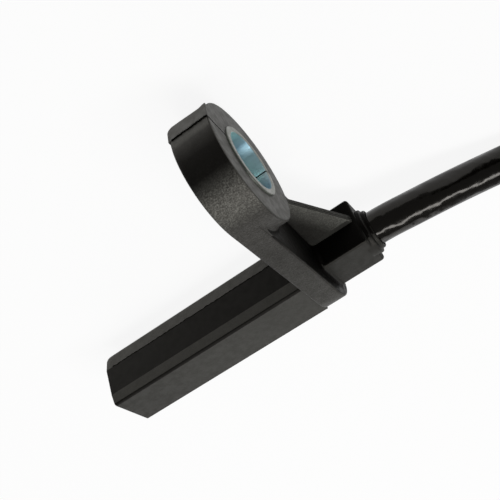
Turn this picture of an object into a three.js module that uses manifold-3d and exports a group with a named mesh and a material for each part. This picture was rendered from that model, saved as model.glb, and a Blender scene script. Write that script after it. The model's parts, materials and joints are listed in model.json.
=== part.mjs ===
// Wheel speed sensor with its lead, lying on a flat surface.
// Millimetres, +Z up, +X along the nose towards the lead, +Y from the nose towards the bolt eye.
// The origin is the middle of the sensor head's foot print, the lead and plug left aside.

import * as THREE from "three";
import { mergeVertices } from "three/addons/utils/BufferGeometryUtils.js";
import Module from "manifold-3d";

const wasm = await Module();
wasm.setup();

// Clearances between pieces
const insertGap = 0.2; // between a moulding and what is moulded or pressed into it
const seatGap = 0.3; // between pieces that lie against each other

// Nose: the square bar that reaches to the tone ring
const noseLength = 34.6;
const noseWidth = 8.8;
const noseHeight = 8.4;
const noseOffset = 0.5; // how far the nose's middle lies off the lead's axis, on its wide side
const noseCornerRadius = 0.6;
const noseTipRound = 0.5;
const noseSeat = 0.02; // the nose keeps its whole section this far into the flange
const noseWall = 1.1;
const noseTipWall = 1.2;
const stripWidth = 1.85; // shallow band beside the nose's sharp corner
const stripDrop = 0.2;
const draftWidth = 2.4; // the drafted stretch past the parting line
const draftDrop = 0.42;
const noseClocking = 6.7; // degrees between the nose's faces and the line to the bolt

// Flange: two rounds and their tangents
const boltDistance = 23.2;
const eyeRadius = 8.94;
const noseEndRadius = 6.05;
const plateThickness = 3.7;
const plateEdgeRound = 0.55;
const eyeHeight = 5.95;
const eyeEdgeRound = 0.3;
const eyeFillet = 0.7;

// Small moulded pad on the eye's outer end
const padWidth = 2.6;
const padProud = 0.05;
const padTurn = 7.6; // degrees off the line to the bolt
const padStart = 0.5;

// Bolt bushing: a rolled steel sleeve with one butt seam
const bushingOuterRadius = 5.18;
const bushingBore = 8.5;
const bushingProud = 0.32;
const bushingSeatProud = 0.1;
const bushingChamfer = 0.3;
const seamWidth = 0.25;
const seamAngle = -70; // degrees from the flange's cross axis

// Rib from the eye to the box
const ribThickness = 1.05; // of each half, to either side of the parting plane
const ribFarDrop = 0.8; // the far half's top lies this much lower
const ribStart = 1.0; // flat stretch of the rib's top beside the eye
const ribTopDrop = 0.55; // the rib's top ends this far below the box's end

// Box and collar on the lead's side
const boxLength = 7.5; // from the plate to the box's end face
const boxNear = 3.35; // from the lead's axis to the box's light side
const boxFar = 4.3; // and to the opposite side
const boxHeight = 6.68; // on the light side
const boxFlare = 0.76; // gained in height towards the opposite side
const boxCornerRadius = 0.5;
const boxEndRound = 0.45;
const boxSkirt = 0.8;
const collarRadius = 3.4;
const collarMouthRadius = 2.95;
const collarLength = 1.15;

// Lead
const cableDiameter = 5.1;
const jacketDepth = 6.5; // how far the jacket reaches into the head
const coreRadius = 0.8;
const corePitch = 2.4;
const strandRadius = 0.45;
const strandLength = 4.0;

// Sensing element and its carrier in the nose
const carrierLength = 21;
const chipWidth = 4.8;
const chipThickness = 1.5;
const chipLength = 3.9;
const chipInset = 0.9; // from the carrier's tip to the chip
const magnetWidth = 3.8;
const magnetThickness = 2.2;
const magnetLength = 3.6;
const leadWidth = 0.7;
const leadThickness = 0.35;
const capacitorWidth = 3.0;
const capacitorThickness = 1.1;
const capacitorLength = 1.7;
const capacitorPlace = 8.0; // behind the chip
const spliceRadius = 1.05;
const spliceWall = 0.25;
const spliceLength = 3.6;

// Coil of the stored lead, its middle given from the lead's exit
const coilMidRadius = 28;
const coilPlaceX = 69.83;
const coilPlaceY = 12.76;
const coilTurnsWide = 2;
const coilTurnsHigh = 2;
const coilSlack = 0.1;
const coilCornerRadius = 2.2;
const tieWidth = 6;
const tieThickness = 0.7;
const tieAngle = -92; // degrees round the coil

// The lead's end climbs from the coil's outer turn and turns in to the plug, which lies on the coil
const climbStart = -72; // degrees round the coil
const climbClear = -22; // from here the climbing lead is clear of the turns below
const climbEnd = 20;
const tailTurnRadius = 21;
const tailStraight = 0.5;

// Plug: a sealed two-pin socket
const plugRest = 0.6; // from the coil's top to the plug
const shroudWidth = 17;
const shroudHeight = 14.4;
const shroudDepth = 14.5;
const shroudWall = 1.7;
const shroudCorner = 3;
const bulkheadThickness = 2.5;
const tunnelWidth = 14;
const tunnelHeight = 10.6;
const tunnelLength = 12;
const tunnelWall = 1.5;
const tunnelCorner = 2.4;
const lockThickness = 2.2;
const sealLength = 4.2;
const sealInset = 0.4;
const sealGroove = 0.45;
const capThickness = 2;
const capArmLength = 6;
const capArmThickness = 0.9;
const capArmWidth = 4.5;
const latchWidth = 5;
const latchLength = 4;
const latchHeight = 1.9;
const railThickness = 1.4;
const railSpread = 5.2;
const pinPitch = 5.4;
const pinWidth = 2.3;
const pinThickness = 0.8;
const pinReach = 9;
const barrelWall = 0.3;
const barrelLength = 3.6;
const coreFree = 8; // bare cores between the plug and the jacket's end

// Route of the lead from its exit to the coil: x and y from the exit, z from the surface.
const leadRoute = [
  [-3, 0, 6.05],
  [0, 0, 6.05],
  [1.7, -0.1, 6.02],
  [3.4, -0.36, 5.91],
  [5.2, -0.74, 5.74],
  [7, -1.17, 5.5],
  [8.9, -1.68, 5.18],
  [11, -2.3, 4.79],
  [13.3, -3.03, 4.34],
  [15.5, -3.75, 3.92],
  [17.7, -4.46, 3.54],
  [20.2, -5.22, 3.17],
  [22.7, -5.95, 2.87],
  [25.7, -6.8, 2.64],
  [28.7, -7.62, 2.56],
  [36, -9.7, 2.55],
  [44, -11.95, 2.55],
];

// Turns and smoothness
const roundSegments = 48;
const smallSegments = 24;
const cornerSegments = 2;

// Materials, one for each piece
function plastic(color, roughness = 0.5) {
  return new THREE.MeshStandardMaterial({ color, roughness, metalness: 0 });
}
function metal(color, roughness = 0.35) {
  return new THREE.MeshStandardMaterial({ color, roughness, metalness: 1 });
}

// Booleans on closed meshes
function solidOf(geometry) {
  const bare = geometry.index ? geometry.toNonIndexed() : geometry.clone();
  for (const name of Object.keys(bare.attributes)) {
    if (name !== "position") bare.deleteAttribute(name);
  }
  const merged = mergeVertices(bare, 1e-4);
  const corners = merged.index.array;
  const kept = [];
  for (let i = 0; i < corners.length; i += 3) {
    const [a, b, c] = corners.slice(i, i + 3);
    if (a !== b && b !== c && c !== a) kept.push(a, b, c);
  }
  return new wasm.Manifold(
    new wasm.Mesh({
      numProp: 3,
      vertProperties: new Float32Array(merged.attributes.position.array),
      triVerts: new Uint32Array(kept),
    }),
  );
}
function geometryOf(solid) {
  const made = solid.getMesh();
  const step = made.numProp;
  const place = new Float32Array(made.numVert * 3);
  for (let i = 0; i < made.numVert; i++) {
    place.set(made.vertProperties.subarray(i * step, i * step + 3), i * 3);
  }
  const geometry = new THREE.BufferGeometry();
  geometry.setAttribute("position", new THREE.BufferAttribute(place, 3));
  geometry.setIndex(new THREE.BufferAttribute(new Uint32Array(made.triVerts), 1));
  geometry.computeVertexNormals();
  return geometry;
}
function join(...geometries) {
  return geometries.map(solidOf).reduce((sum, next) => sum.add(next));
}
function without(solid, ...geometries) {
  return geometries.map(solidOf).reduce((rest, next) => rest.subtract(next), solid);
}

// Outlines
function filletedOutline(corners) {
  const shape = new THREE.Shape();
  const count = corners.length;
  corners.forEach(([x, y, radius], i) => {
    const [beforeX, beforeY] = corners[(i + count - 1) % count];
    const [afterX, afterY] = corners[(i + 1) % count];
    const enter = Math.atan2(y - beforeY, x - beforeX);
    const leave = Math.atan2(afterY - y, afterX - x);
    const turn = THREE.MathUtils.euclideanModulo(leave - enter, 2 * Math.PI);
    if (radius === 0) {
      shape.lineTo(x, y);
      return;
    }
    const facing = enter - Math.PI / 2;
    const reach = radius / Math.cos(turn / 2);
    const middleX = x - reach * Math.cos(facing + turn / 2);
    const middleY = y - reach * Math.sin(facing + turn / 2);
    shape.absarc(middleX, middleY, radius, facing, facing + turn, false);
  });
  shape.closePath();
  return shape;
}
function rectangleOutline(width, height, radius, x = 0, y = 0) {
  const w = width / 2;
  const h = height / 2;
  return filletedOutline([
    [x - w, y - h, radius],
    [x + w, y - h, radius],
    [x + w, y + h, radius],
    [x - w, y + h, radius],
  ]);
}
function discOutline(radius, x = 0, y = 0) {
  const shape = new THREE.Shape();
  shape.absarc(x, y, radius, 0, 2 * Math.PI, false);
  return shape;
}

// Prisms along +Z from one height to another, with edges rounded inwards on request
function prism(shape, from, to, round = 0, rounds = 3, curveSegments = cornerSegments) {
  const geometry = new THREE.ExtrudeGeometry(shape, {
    depth: to - from - 2 * round,
    curveSegments,
    bevelEnabled: round > 0,
    bevelThickness: round,
    bevelSize: round,
    bevelOffset: -round,
    bevelSegments: rounds,
  });
  return geometry.translate(0, 0, from + round);
}
function disc(radius, from, to, x = 0, y = 0, segments = smallSegments) {
  return prism(discOutline(radius, x, y), from, to, 0, 1, segments / 2);
}
// A turned piece about +Z: its half section as radius and height pairs, closed on itself or on the axis
function turned(section, segments = roundSegments) {
  const points = section.map(([r, z]) => new THREE.Vector2(r, z));
  return new THREE.LatheGeometry(points, segments).rotateX(Math.PI / 2);
}
function sleeve(outer, inner, from, to, segments = smallSegments) {
  return turned(
    [
      [inner, to],
      [inner, from],
      [outer, from],
      [outer, to],
      [inner, to],
    ],
    segments,
  );
}
function block(width, height, from, to, x = 0, y = 0) {
  return new THREE.BoxGeometry(width, height, to - from).translate(x, y, (from + to) / 2);
}
// A round cord along points
function cord(points, radius, sides, steps) {
  const path = new THREE.CatmullRomCurve3(points.map((p) => new THREE.Vector3(...p)));
  return new THREE.ExtrudeGeometry(discOutline(radius), {
    extrudePath: path,
    steps,
    curveSegments: sides / 2,
  });
}

function piece(group, name, shape, material) {
  const geometry = shape.isBufferGeometry ? shape : geometryOf(shape);
  const mesh = new THREE.Mesh(geometry, material);
  mesh.name = name;
  group.add(mesh);
  return mesh;
}

// Places along the sensor's axis, from the flange's seat face
const clockingTurn = THREE.MathUtils.degToRad(noseClocking);
const boxEnd = plateThickness + boxLength;
const collarEnd = boxEnd + collarLength;
const cableRadius = cableDiameter / 2;
const boreRadius = cableRadius + insertGap;
const jacketFront = collarEnd - jacketDepth;
const cavityTip = noseTipWall - noseLength;
const cavityEnd = plateThickness - 0.4;
const cavityWidth = noseWidth - 2 * noseWall;
const cavityHeight = noseHeight - 2 * noseWall;
const restTilt = Math.asin((eyeRadius - noseEndRadius) / boltDistance);

// Sensor head moulding
function noseOutline() {
  const low = -noseOffset - noseWidth / 2;
  const high = -noseOffset + noseWidth / 2;
  const half = noseHeight / 2;
  return filletedOutline([
    [low, -half, noseCornerRadius],
    [high, -half, noseCornerRadius],
    [high, half - draftDrop, noseCornerRadius],
    [high - draftWidth, half, 0],
    [low + stripWidth, half, 0],
    [low, half - stripDrop, noseCornerRadius],
  ]);
}
function flangeOutline() {
  const shape = new THREE.Shape();
  shape.absarc(0, boltDistance, eyeRadius, -restTilt, Math.PI + restTilt, false);
  shape.absarc(0, 0, noseEndRadius, Math.PI + restTilt, 2 * Math.PI - restTilt, false);
  shape.closePath();
  return shape;
}
function eyeBoss() {
  const base = eyeRadius + eyeFillet;
  const flared = turned([
    [0, plateThickness - plateEdgeRound],
    [base, plateThickness - plateEdgeRound],
    [base, plateThickness],
    [eyeRadius + eyeFillet * 0.3, plateThickness + eyeFillet * 0.3],
    [eyeRadius, plateThickness + eyeFillet],
    [eyeRadius, eyeHeight - eyeEdgeRound],
    [eyeRadius - eyeEdgeRound * 0.3, eyeHeight - eyeEdgeRound * 0.3],
    [eyeRadius - eyeEdgeRound, eyeHeight],
    [0, eyeHeight],
  ]).translate(0, boltDistance, 0);
  const limit = prism(flangeOutline(), 0, eyeHeight + 1, 0, 1, roundSegments / 2);
  return solidOf(flared).intersect(solidOf(limit));
}
function eyePad() {
  const outer = eyeRadius + padProud;
  const inner = eyeRadius - 2;
  return block(padWidth, outer - inner, 0, eyeHeight, padWidth / 2 - padStart, (outer + inner) / 2)
    .rotateZ(-THREE.MathUtils.degToRad(padTurn))
    .translate(0, boltDistance, 0);
}
function ribHalf(drop) {
  const boxFace = boxHeight / 2 + boxFlare / 2;
  const eyeFace = boltDistance - eyeRadius;
  const profile = new THREE.Shape();
  profile.moveTo(0, 0.5);
  profile.lineTo(eyeFace + 2, 0.5);
  profile.lineTo(eyeFace + 2, eyeHeight - drop);
  profile.lineTo(eyeFace - ribStart, eyeHeight - drop);
  profile.lineTo(boxFace, boxEnd - ribTopDrop - drop);
  profile.lineTo(0, boxEnd - ribTopDrop - drop);
  profile.closePath();
  // The profile is drawn with its x along the line to the bolt and its y along the nose.
  return new THREE.ExtrudeGeometry(profile, { depth: ribThickness, bevelEnabled: false })
    .rotateX(Math.PI / 2)
    .rotateZ(Math.PI / 2);
}
function ribPlate() {
  return join(ribHalf(0), ribHalf(ribFarDrop).translate(ribThickness, 0, 0));
}
function boxOutline() {
  const half = boxHeight / 2;
  return filletedOutline([
    [-boxNear, -half, boxCornerRadius],
    [boxFar, -half, boxCornerRadius],
    [boxFar, half + boxFlare, boxCornerRadius],
    [-boxNear, half, boxCornerRadius],
  ]);
}
function boxSkirtPyramid() {
  return new THREE.ExtrudeGeometry(boxOutline(), {
    depth: 0.02,
    curveSegments: cornerSegments,
    bevelEnabled: true,
    bevelThickness: boxSkirt,
    bevelSize: boxSkirt,
    bevelSegments: 1,
  }).translate(0, 0, plateThickness - 0.01);
}
function leadCollar() {
  const shoulder = (collarRadius + collarMouthRadius) / 2;
  return turned([
    [0, boxEnd - 1],
    [collarRadius, boxEnd - 1],
    [collarRadius, boxEnd + collarLength * 0.25],
    [shoulder + 0.1, boxEnd + collarLength * 0.7],
    [collarMouthRadius, collarEnd],
    [0, collarEnd],
  ]);
}
function sensorHousing() {
  const rooted = plateThickness - plateEdgeRound;
  const nose = prism(noseOutline(), -noseLength, noseSeat + noseTipRound, noseTipRound).rotateZ(
    clockingTurn,
  );
  const plate = prism(flangeOutline(), 0, plateThickness, plateEdgeRound, 3, roundSegments / 2);
  const box = prism(boxOutline(), rooted, boxEnd, boxEndRound).rotateZ(clockingTurn);
  const skirt = boxSkirtPyramid().rotateZ(clockingTurn);
  const outside = join(nose, plate, eyePad(), box, skirt, leadCollar())
    .add(ribPlate())
    .add(eyeBoss());
  const cavity = prism(
    rectangleOutline(cavityWidth, cavityHeight, noseCornerRadius, -noseOffset, 0),
    cavityTip,
    cavityEnd,
  ).rotateZ(clockingTurn);
  return without(
    outside,
    disc(bushingOuterRadius + insertGap, -1, eyeHeight + 1, 0, boltDistance, roundSegments / 2),
    cavity,
    disc(boreRadius, cavityEnd - 1, collarEnd + 1),
  );
}

// Rolled bushing with its butt seam
function boltBushing() {
  const bore = bushingBore / 2;
  const top = eyeHeight + bushingProud;
  const bottom = -bushingSeatProud;
  const ring = turned([
    [bore, top - bushingChamfer],
    [bore, bottom + bushingChamfer],
    [bore + bushingChamfer, bottom],
    [bushingOuterRadius, bottom],
    [bushingOuterRadius, top],
    [bore + bushingChamfer, top],
    [bore, top - bushingChamfer],
  ]);
  const seam = block(bushingOuterRadius + 1, seamWidth, bottom - 1, top + 1, (bushingOuterRadius + 1) / 2)
    .rotateZ(THREE.MathUtils.degToRad(seamAngle));
  return geometryOf(without(solidOf(ring), seam)).translate(0, boltDistance, 0);
}

// Carrier with the chip, magnet, capacitor and lead strips, seen from the nose's own middle
const carrierTip = cavityTip + seatGap;
const carrierEnd = carrierTip + carrierLength;
const carrierWidth = cavityWidth - 2 * insertGap;
const carrierHeight = cavityHeight - 2 * insertGap;
const chipTip = carrierTip + chipInset;
const chipRear = chipTip + chipLength;
const chipFloor = carrierHeight / 2 - chipThickness - 2 * insertGap;
const leadLevel = chipFloor + seatGap + chipThickness / 2;
const magnetTop = chipFloor + seatGap - insertGap - 0.1;
const capacitorTip = chipRear + capacitorPlace;
const capacitorTop = leadLevel - leadThickness / 2 - seatGap;
const leadFront = chipRear + seatGap;
const spliceFront = carrierEnd - 1.5;
const spliceRear = spliceFront + spliceLength;
const leadRear = spliceFront + spliceLength / 2 - seatGap / 2;
const strandFront = leadRear + seatGap;
const strandRear = strandFront + strandLength;

function chipCarrier() {
  const body = prism(rectangleOutline(carrierWidth, carrierHeight, noseCornerRadius / 2), carrierTip, carrierEnd);
  const high = carrierHeight / 2 + 1;
  const cut = (width, floor, from, to, x = 0) => block(width, high - floor, from, to, x, (high + floor) / 2);
  const chipPocket = cut(chipWidth + 2 * insertGap, chipFloor, chipTip - insertGap, chipRear + insertGap);
  const magnetPocket = cut(
    magnetWidth + 2 * insertGap,
    magnetTop - magnetThickness - seatGap,
    chipTip - insertGap,
    chipTip + magnetLength + insertGap,
  );
  const capacitorPocket = cut(
    capacitorWidth + 2 * insertGap,
    capacitorTop - capacitorThickness - seatGap,
    capacitorTip - insertGap,
    capacitorTip + capacitorLength + insertGap,
  );
  const grooves = [-1, 1].map((side) =>
    cut(leadWidth + 2 * insertGap, leadLevel - leadThickness / 2 - seatGap, chipRear, carrierEnd + 1, (side * corePitch) / 2),
  );
  const spliceBed = cut(
    corePitch + 2 * spliceRadius + 2 * insertGap,
    leadLevel - spliceRadius - seatGap,
    spliceFront - seatGap,
    carrierEnd + 1,
  );
  return without(solidOf(body), chipPocket, magnetPocket, capacitorPocket, ...grooves, spliceBed);
}
function hallChip() {
  return prism(rectangleOutline(chipWidth, chipThickness, 0.2), chipTip, chipRear)
    .translate(0, leadLevel, 0);
}
function spliceSleeve(x) {
  return sleeve(spliceRadius, spliceRadius - spliceWall, spliceFront, spliceRear).translate(x, leadLevel, 0);
}

function buildHead() {
  const head = new THREE.Group();
  piece(head, "sensor_housing", sensorHousing(), plastic(0x1d1e1c, 0.55));
  piece(head, "bolt_bushing", boltBushing(), metal(0x8fb0b4));

  const inside = new THREE.Group();
  inside.rotation.z = clockingTurn;
  const core = new THREE.Group();
  core.position.x = -noseOffset;
  inside.add(core);
  head.add(inside);
  piece(core, "chip_carrier", chipCarrier(), plastic(0x30302e));
  piece(core, "hall_chip", hallChip(), plastic(0x141416, 0.4));
  piece(
    core,
    "bias_magnet",
    block(magnetWidth, magnetThickness, chipTip, chipTip + magnetLength, 0, magnetTop - magnetThickness / 2),
    metal(0x6a6a6e, 0.5),
  );
  piece(
    core,
    "filter_capacitor",
    block(
      capacitorWidth,
      capacitorThickness,
      capacitorTip,
      capacitorTip + capacitorLength,
      0,
      capacitorTop - capacitorThickness / 2,
    ),
    plastic(0x8a6a45, 0.5),
  );
  [-1, 1].forEach((side, i) => {
    const x = (side * corePitch) / 2;
    const mark = "_" + (i + 1);
    piece(core, "lead_strip" + mark, block(leadWidth, leadThickness, leadFront, leadRear, x, leadLevel), metal(0xb9b4a6));
    piece(core, "splice_sleeve" + mark, spliceSleeve(x), metal(0xbdb7a4));
    piece(core, "copper_strand" + mark, disc(strandRadius, strandFront, strandRear, x, leadLevel, 6), metal(0xb87040));
    piece(
      core,
      "head_core" + mark,
      cord(
        [
          [x, leadLevel, strandRear + seatGap],
          [x, leadLevel, strandRear + seatGap + 2.5],
          [x, leadLevel * 0.6, (strandRear + jacketFront) / 2],
          [x, 0, jacketFront - seatGap - 2],
          [x, 0, jacketFront - seatGap],
        ],
        coreRadius,
        8,
        8,
      ),
      plastic(i === 0 ? 0x3b3b3d : 0xe6e2d6, 0.6),
    );
  });
  return head;
}

// Stored lead
const coilWide = coilTurnsWide * cableDiameter + coilSlack;
const coilHigh = coilTurnsHigh * cableDiameter + coilSlack;
const outerTurnRadius = coilMidRadius + (cableDiameter + coilSlack) / 2;
const plugLevel = coilHigh + plugRest + shroudHeight / 2;

// Round the coil's middle: the climbing lead over its outer turn, then the tighter turn to the plug
function tailRoute() {
  const at = (degrees, radius, level) => {
    const angle = THREE.MathUtils.degToRad(degrees);
    return new THREE.Vector3(radius * Math.cos(angle), radius * Math.sin(angle), level);
  };
  const route = [];
  for (let degrees = climbClear; degrees < climbEnd; degrees += 7) {
    const climbed = THREE.MathUtils.smoothstep(degrees, climbStart, climbEnd);
    route.push(at(degrees, outerTurnRadius, THREE.MathUtils.lerp(coilHigh - cableRadius, plugLevel, climbed)));
  }
  const turnMiddle = at(climbEnd, outerTurnRadius - tailTurnRadius, 0);
  for (let degrees = climbEnd; degrees <= 90; degrees += 10) {
    route.push(at(degrees, tailTurnRadius, plugLevel).add(turnMiddle));
  }
  route.push(route[route.length - 1].clone().setX(turnMiddle.x - tailStraight));
  return route.map((p) => p.toArray());
}
const tailEnd = tailRoute().pop();

function coilRing() {
  const r = coilMidRadius;
  const section = filletedOutline([
    [r - coilWide / 2, 0, coilCornerRadius],
    [r + coilWide / 2, 0, coilCornerRadius],
    [r + coilWide / 2, coilHigh, coilCornerRadius],
    [r - coilWide / 2, coilHigh, coilCornerRadius],
  ]).getPoints(cornerSegments);
  const ring = turned(section.map((p) => [p.x, p.y]), 56);
  // The ring is narrowed where the tie goes round it.
  const band = tieWidth / 2 + seatGap;
  const squeeze = tieThickness + seatGap;
  const upright = (width, from, to, length) =>
    new THREE.BoxGeometry(width, length, to - from).translate(coilMidRadius, 0, (from + to) / 2);
  const envelope = upright(coilWide + 4, -1, coilHigh + 1, 2 * band);
  const neck = upright(coilWide - 2 * squeeze, squeeze, coilHigh - squeeze, 2 * band + 2);
  return geometryOf(without(solidOf(ring), envelope).add(solidOf(neck))).rotateZ(THREE.MathUtils.degToRad(tieAngle));
}
function coilTie() {
  const corner = tieThickness * 1.5;
  const band = rectangleOutline(coilWide, coilHigh, corner, coilMidRadius, coilHigh / 2);
  const hollow = rectangleOutline(
    coilWide - 2 * tieThickness,
    coilHigh - 2 * tieThickness,
    tieThickness / 2,
    coilMidRadius,
    coilHigh / 2,
  );
  band.holes.push(hollow);
  return new THREE.ExtrudeGeometry(band, { depth: tieWidth, bevelEnabled: false, curveSegments: cornerSegments })
    .translate(0, 0, -tieWidth / 2)
    .rotateX(Math.PI / 2)
    .rotateZ(THREE.MathUtils.degToRad(tieAngle));
}

// Plug, drawn with +Z towards its open mouth and +Y up; its rear edge is at zero
const bulkheadFront = tunnelLength + bulkheadThickness;
const mouth = bulkheadFront + shroudDepth;
const tunnelBoreWidth = tunnelWidth - 2 * tunnelWall;
const tunnelBoreHeight = tunnelHeight - 2 * tunnelWall;
const lockFront = tunnelLength - seatGap;
const lockRear = lockFront - lockThickness;
const barrelFront = lockRear - seatGap;
const barrelRear = barrelFront - barrelLength;
const barrelRadius = coreRadius + insertGap + barrelWall;
const pinTip = bulkheadFront + pinReach;

function plugHousing() {
  const tunnel = prism(rectangleOutline(tunnelWidth, tunnelHeight, tunnelCorner), 0, tunnelLength + 1);
  const shroud = prism(rectangleOutline(shroudWidth, shroudHeight, shroudCorner), tunnelLength, mouth, 0.4, 2);
  const ramp = new THREE.Shape();
  ramp.moveTo(0, 0);
  ramp.lineTo(latchLength, 0);
  ramp.lineTo(latchLength * 0.3, latchHeight);
  ramp.lineTo(0, latchHeight);
  ramp.closePath();
  const latch = new THREE.ExtrudeGeometry(ramp, { depth: latchWidth, bevelEnabled: false })
    .rotateY(-Math.PI / 2)
    .translate(latchWidth / 2, shroudHeight / 2 - 0.3, mouth - latchLength - 4);
  const rails = [-1, 1].map((side) =>
    block(railThickness, latchHeight, tunnelLength + 1, mouth - 3, side * railSpread, shroudHeight / 2 + latchHeight / 2 - 0.5),
  );
  const lugs = [-1, 1].map((side) =>
    block(1.2, capArmWidth - 1, capArmLength + 0.3, capArmLength + 2, (side * tunnelWidth) / 2),
  );
  const socket = prism(
    rectangleOutline(shroudWidth - 2 * shroudWall, shroudHeight - 2 * shroudWall, shroudCorner - shroudWall),
    bulkheadFront,
    mouth + 1,
  );
  const bore = prism(
    rectangleOutline(tunnelBoreWidth, tunnelBoreHeight, tunnelCorner - tunnelWall),
    -1,
    tunnelLength,
  );
  const slots = [-1, 1].map((side) =>
    block(pinWidth + 2 * insertGap, pinThickness + 2 * insertGap, tunnelLength - 1, bulkheadFront + 1, (side * pinPitch) / 2),
  );
  return without(join(tunnel, shroud, latch, ...rails, ...lugs), socket, bore, ...slots);
}
function plugPin() {
  const blade = prism(rectangleOutline(pinWidth, pinThickness, 0.2), barrelFront - 0.8, pinTip, 0.15, 1);
  const barrel = turned(
    [
      [0, barrelFront - 0.6],
      [barrelRadius - barrelWall, barrelFront - 0.6],
      [barrelRadius - barrelWall, barrelRear],
      [barrelRadius, barrelRear],
      [barrelRadius, barrelFront],
      [0, barrelFront],
    ],
    smallSegments,
  );
  return join(blade, barrel);
}
function pinLock() {
  const plate = prism(
    rectangleOutline(tunnelBoreWidth - 2 * insertGap, tunnelBoreHeight - 2 * insertGap, 0.7),
    lockRear,
    lockFront,
  );
  const slots = [-1, 1].map((side) =>
    block(pinWidth + 2 * insertGap, pinThickness + 2 * insertGap, lockRear - 1, lockFront + 1, (side * pinPitch) / 2),
  );
  return without(solidOf(plate), ...slots);
}
function plugSeal() {
  const wide = tunnelBoreWidth - 2 * insertGap;
  const high = tunnelBoreHeight - 2 * insertGap;
  const ribs = 3;
  const pitch = sealLength / (2 * ribs - 1);
  const middle = prism(rectangleOutline(wide - 2 * sealGroove, high - 2 * sealGroove, 0.7), sealInset, sealInset + sealLength);
  const lips = Array.from({ length: ribs }, (_, i) =>
    prism(rectangleOutline(wide, high, 0.7), sealInset + 2 * i * pitch, sealInset + (2 * i + 1) * pitch),
  );
  const holes = [-1, 1].map((side) => disc(coreRadius + insertGap, -1, sealLength + 2, (side * pinPitch) / 2, 0, 8));
  return without(join(middle, ...lips), ...holes);
}
function sealCap() {
  const rear = -seatGap - capThickness;
  const plate = prism(rectangleOutline(tunnelWidth, tunnelHeight, tunnelCorner), rear, -seatGap);
  const reach = tunnelWidth / 2 + insertGap;
  const frames = [-1, 1].map((side) =>
    block(capArmThickness + 1, capArmWidth, rear, -seatGap, side * (reach + capArmThickness / 2 - 0.5)),
  );
  const arms = [-1, 1].map((side) =>
    block(capArmThickness, capArmWidth, rear, capArmLength, side * (reach + capArmThickness / 2)),
  );
  const holes = [-1, 1].map((side) =>
    disc(coreRadius + insertGap, rear - 1, 1, (side * pinPitch) / 2, 0, 8),
  );
  return without(join(plate, ...frames, ...arms), ...holes);
}
function plugCore(side) {
  const x = (side * pinPitch) / 2;
  const close = (side * corePitch) / 2;
  const rear = -seatGap - capThickness;
  return cord(
    [
      [x, 0, barrelFront - 1],
      [x, 0, sealInset],
      [x, 0, rear - 0.6],
      [(x + close) / 2, 0, rear - coreFree / 2],
      [close, 0, rear - coreFree + 0.8],
      [close, 0, rear - coreFree],
    ],
    coreRadius,
    8,
    10,
  );
}

function buildLead() {
  const lead = new THREE.Group();
  const inHead = [-jacketDepth, 0, leadRoute[0][2]];
  piece(lead, "cable_lead", cord([inHead, ...leadRoute], cableRadius, 10, 8), plastic(0x0b0b0b, 0.25));

  const coil = new THREE.Group();
  coil.position.set(coilPlaceX, coilPlaceY, 0);
  lead.add(coil);
  piece(coil, "cable_coil", coilRing(), plastic(0x0b0b0b, 0.25));
  piece(coil, "cable_tail", cord(tailRoute(), cableRadius, 10, 4), plastic(0x0b0b0b, 0.25));
  piece(coil, "coil_tie", coilTie(), plastic(0x161616, 0.5));

  const plug = new THREE.Group();
  const facing = new THREE.Matrix4().makeBasis(
    new THREE.Vector3(0, -1, 0),
    new THREE.Vector3(0, 0, 1),
    new THREE.Vector3(-1, 0, 0),
  );
  plug.quaternion.setFromRotationMatrix(facing);
  const coresOut = seatGap + capThickness + coreFree + seatGap;
  plug.position.set(tailEnd[0] - coresOut, tailEnd[1], plugLevel);
  coil.add(plug);
  piece(plug, "plug_housing", plugHousing(), plastic(0x1a1b1c, 0.5));
  piece(plug, "pin_lock", pinLock(), plastic(0xb8b6ac, 0.5));
  piece(plug, "plug_seal", plugSeal(), plastic(0x9a4a2c, 0.7));
  piece(plug, "seal_cap", sealCap(), plastic(0x202122, 0.5));
  [-1, 1].forEach((side, i) => {
    const mark = "_" + (i + 1);
    const pin = piece(plug, "plug_pin" + mark, plugPin(), metal(0xc8c2b0));
    pin.position.x = (side * pinPitch) / 2;
    piece(plug, "plug_core" + mark, plugCore(side), plastic(i === 0 ? 0x3b3b3d : 0xe6e2d6, 0.6));
  });
  return lead;
}

// The head lies on the flange's far edge: the two rounds touch the surface.
const group = new THREE.Group();
const head = buildHead();
const lying = new THREE.Matrix4().makeBasis(
  new THREE.Vector3(0, Math.sin(restTilt), -Math.cos(restTilt)),
  new THREE.Vector3(0, Math.cos(restTilt), Math.sin(restTilt)),
  new THREE.Vector3(1, 0, 0),
);
head.quaternion.setFromRotationMatrix(lying);
group.add(head);
group.updateMatrixWorld(true);
const extent = new THREE.Box3().setFromObject(head, true);
const middle = extent.getCenter(new THREE.Vector3());
head.position.set(-middle.x, -middle.y, -extent.min.z);

const lead = buildLead();
lead.position.set(collarEnd - middle.x, -middle.y, 0);
group.add(lead);

export default group;
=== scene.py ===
"""Wheel speed sensor on a pale floor: moulded head, steel bushing, coiled lead and sealed plug."""

import json
import math
from itertools import pairwise

import bmesh
import bpy
from mathutils import Matrix, Vector, noise


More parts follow.
